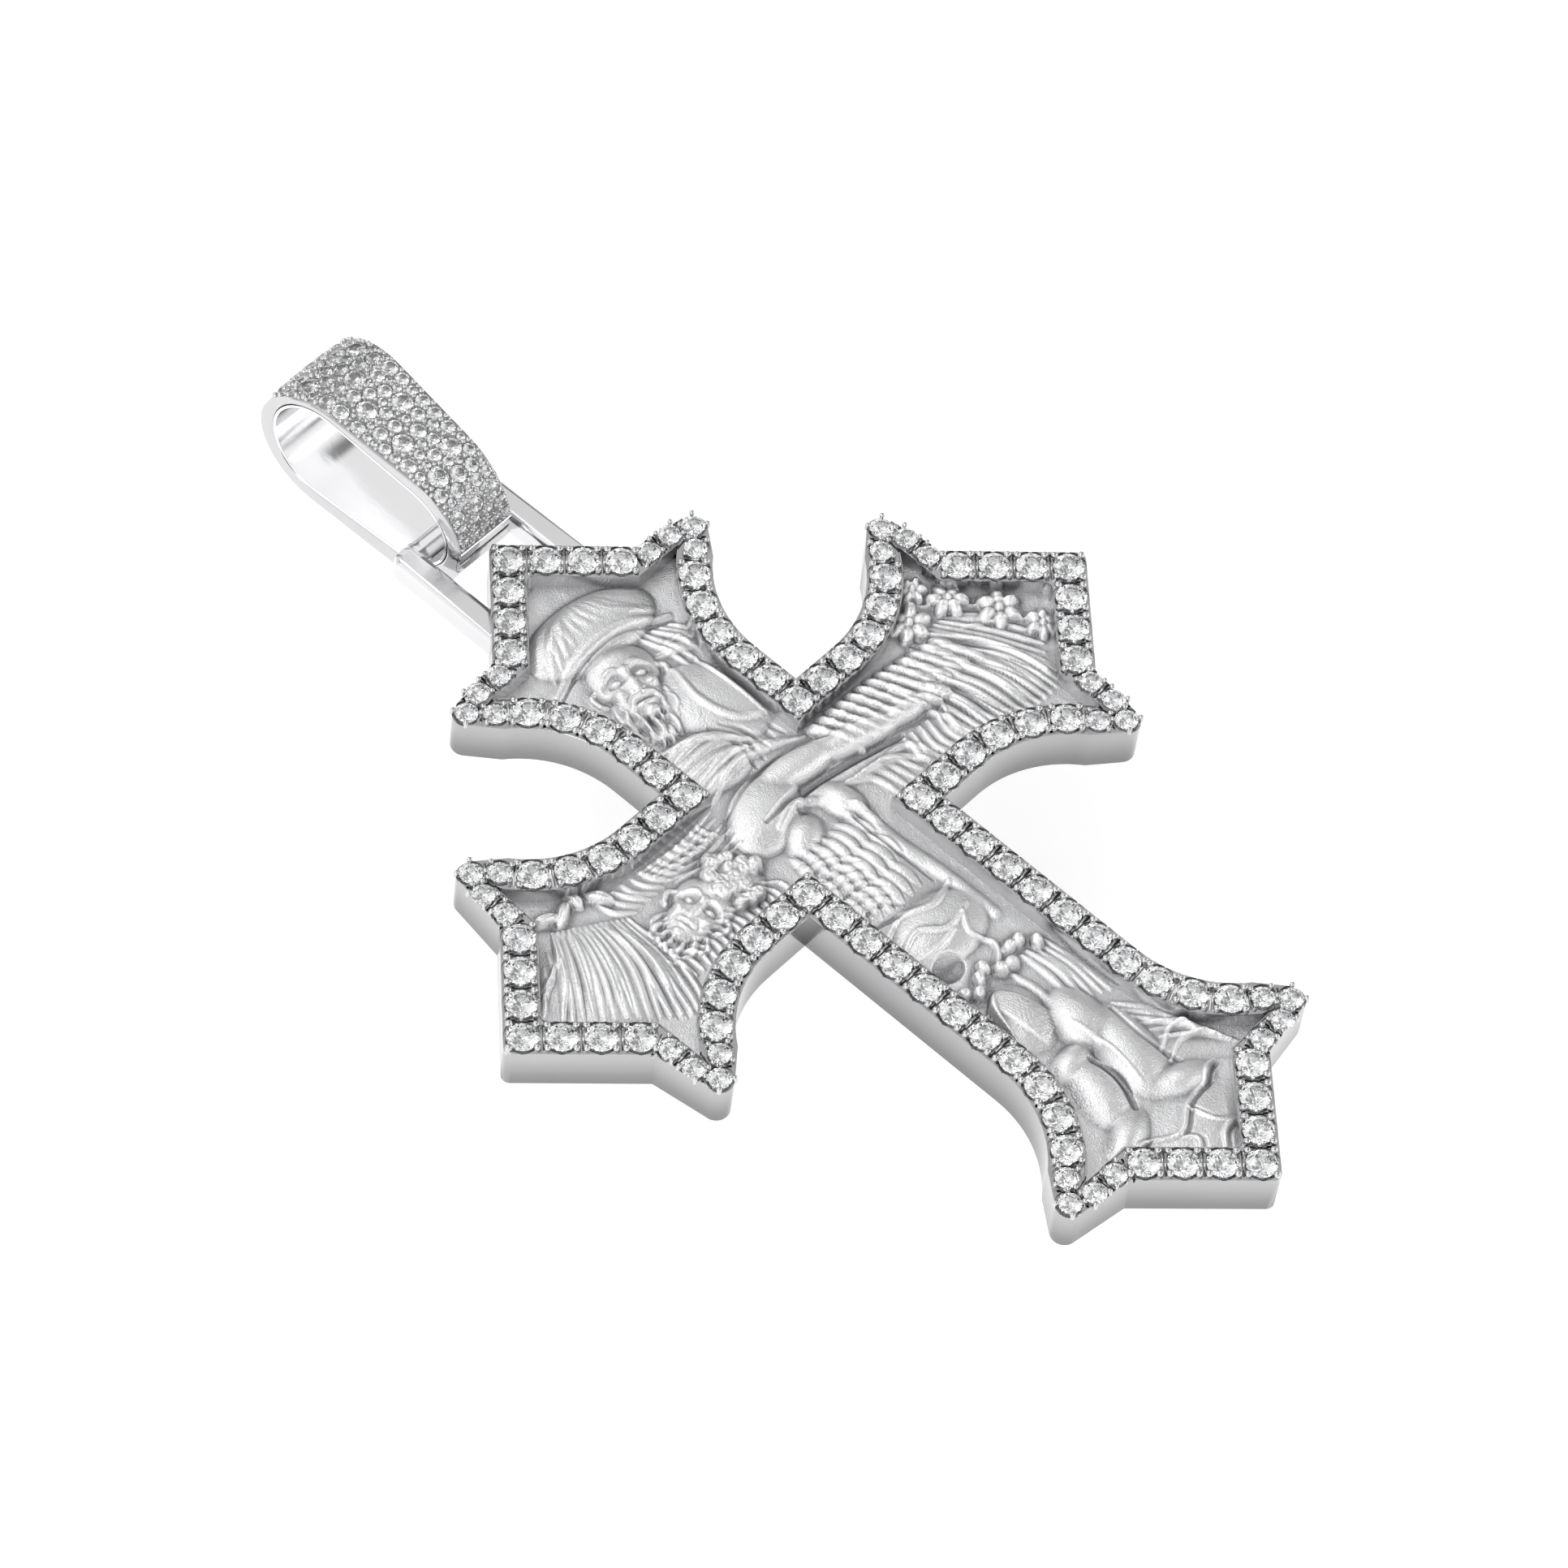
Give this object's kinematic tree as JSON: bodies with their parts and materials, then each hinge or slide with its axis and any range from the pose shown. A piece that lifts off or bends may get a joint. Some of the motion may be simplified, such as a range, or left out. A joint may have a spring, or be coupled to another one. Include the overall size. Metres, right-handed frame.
{
  "type": "cross pendant",
  "caption": "Flared-arm cross pendant: stone-set rim around a recessed figure relief, hung on a broad stone-set bail that swings on a fixed loop.",
  "frame": {"origin": "crossing of the two arm centre lines, on the flat back face", "axes": "+X along the right arm, +Y up the top arm towards the bail, +Z out of the front face"},
  "size_m": [0.0464, 0.0723, 0.0096],
  "materials": {
    "bright_silver": "bright polished silver",
    "bail_lining": "mirror polished silver",
    "claw_silver": "bright bead-set silver with darker hollows",
    "satin_relief": "fine satin-blasted silver",
    "back_silver": "lightly brushed silver",
    "cut_stone": "clear brilliant-cut stone"
  },
  "bodies": {
    "cross": {"rim_frame": "bright_silver", "back_plate": "back_silver", "relief_panel": "satin_relief", "hanger_loop": "bright_silver", "top_stones": "cut_stone", "right_stones": "cut_stone", "left_stones": "cut_stone", "foot_stones": "cut_stone", "tip_stones": "cut_stone", "crotch_stones": "cut_stone", "horn_stones": "cut_stone", "top_claws": "claw_silver", "right_claws": "claw_silver", "left_claws": "claw_silver", "foot_claws": "claw_silver", "crotch_claws": "claw_silver"},
    "bail": {"bail_shell": "bright_silver", "bail_sleeve": "bail_lining", "bail_foot_strip": "bright_silver", "bail_large_stones": "cut_stone", "bail_front_stones": "cut_stone", "bail_top_stones": "cut_stone", "bail_foot_stones": "cut_stone", "bail_front_beads": "claw_silver", "bail_top_beads": "claw_silver"}
  },
  "joints": [
    {"name": "bail_swing", "type": "hinge", "parent": "cross", "child": "bail", "pos_m": [0, 0.02791, 0.003], "axis": [1, 0, 0], "range_deg": [-70, 85]}
  ]
}
